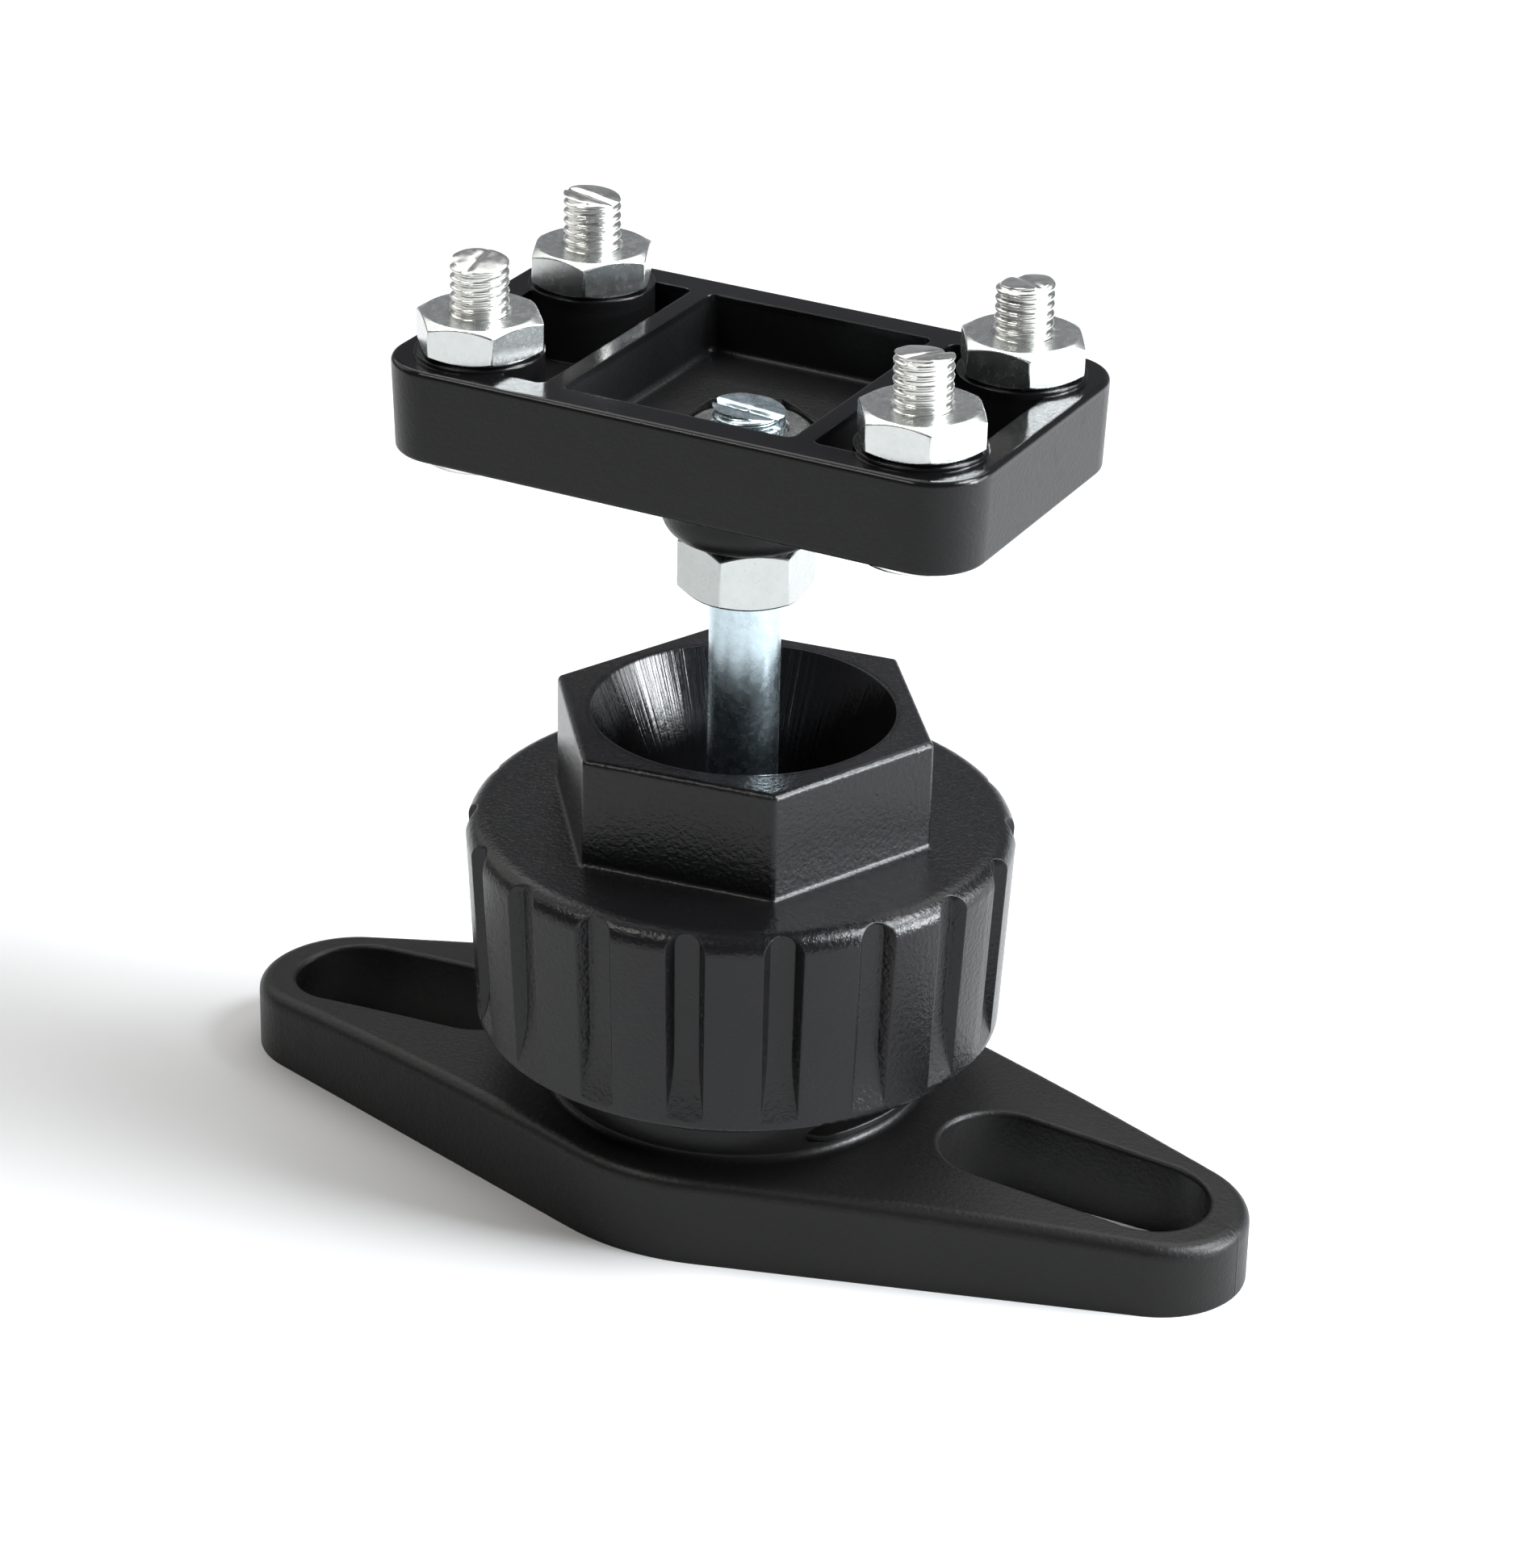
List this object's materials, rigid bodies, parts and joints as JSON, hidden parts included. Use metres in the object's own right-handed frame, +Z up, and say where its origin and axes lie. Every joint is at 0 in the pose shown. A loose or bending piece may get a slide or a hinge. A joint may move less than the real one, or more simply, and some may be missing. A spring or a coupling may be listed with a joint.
{
  "type": "ball joint mounting bracket",
  "caption": "Ball-jointed mounting bracket: slotted diamond base, fluted hexagon clamp nut, steel stud and a small ribbed head plate with upstanding corner screws.",
  "frame": {"origin": "middle of the flat underside of the base, on the axis of the ball joint", "axes": "+X along the long axis of the base, through both slots; +Y across the base; +Z up along the stud in its upright position"},
  "size_m": [0.0952, 0.0464, 0.0813],
  "materials": {
    "base_plastic": "black moulded plastic, satin, fine grain",
    "nut_plastic": "black moulded plastic, semi-gloss with bright edges",
    "plate_plastic": "black moulded plastic, satin sides and glossier rim",
    "seat_plastic": "dark grey moulded plastic, smooth",
    "ball_plastic": "black moulded plastic, polished",
    "zinc_steel": "bright zinc plating, slightly mottled",
    "zinc_nut": "bright zinc plating on hexagon nuts"
  },
  "bodies": {
    "base": {"base_plate": "base_plastic"},
    "seat_slide": {"upper_seat": "seat_plastic"},
    "clamp": {"clamp_nut": "nut_plastic"},
    "swivel": {"lower_seat": "seat_plastic"},
    "ball_stud": {"ball": "ball_plastic", "stud": "zinc_steel", "jam_nut": "zinc_nut"},
    "head": {"head_plate": "plate_plastic", "captive_nut": "zinc_nut", "screw_front_left": "zinc_steel", "screw_back_left": "zinc_steel", "screw_front_right": "zinc_steel", "screw_back_right": "zinc_steel", "nut_front_left": "zinc_nut", "nut_back_left": "zinc_nut", "nut_front_right": "zinc_nut", "nut_back_right": "zinc_nut"}
  },
  "joints": [
    {"name": "clamp_lift", "type": "slide", "parent": "base", "child": "seat_slide", "axis": [0, 0, 1], "range_m": [0, 0.0015]},
    {"name": "clamp_turn", "type": "hinge", "parent": "seat_slide", "child": "clamp", "pos_m": [0, 0, 0.03], "axis": [0, 0, 1], "range_deg": [0, 270]},
    {"name": "swivel", "type": "hinge", "parent": "base", "child": "swivel", "pos_m": [0, 0, 0.024], "axis": [0, 0, 1], "continuous": true},
    {"name": "tilt", "type": "hinge", "parent": "swivel", "child": "ball_stud", "pos_m": [0, 0, 0.024], "axis": [0, 1, 0], "range_deg": [-24, 24]},
    {"name": "head_turn", "type": "hinge", "parent": "ball_stud", "child": "head", "pos_m": [0, 0, 0.065], "axis": [0, 0, 1], "continuous": true}
  ],
  "couplings": [
    {"joint": "clamp_turn", "follows": "clamp_lift", "rad_per_m": 3141.6}
  ]
}
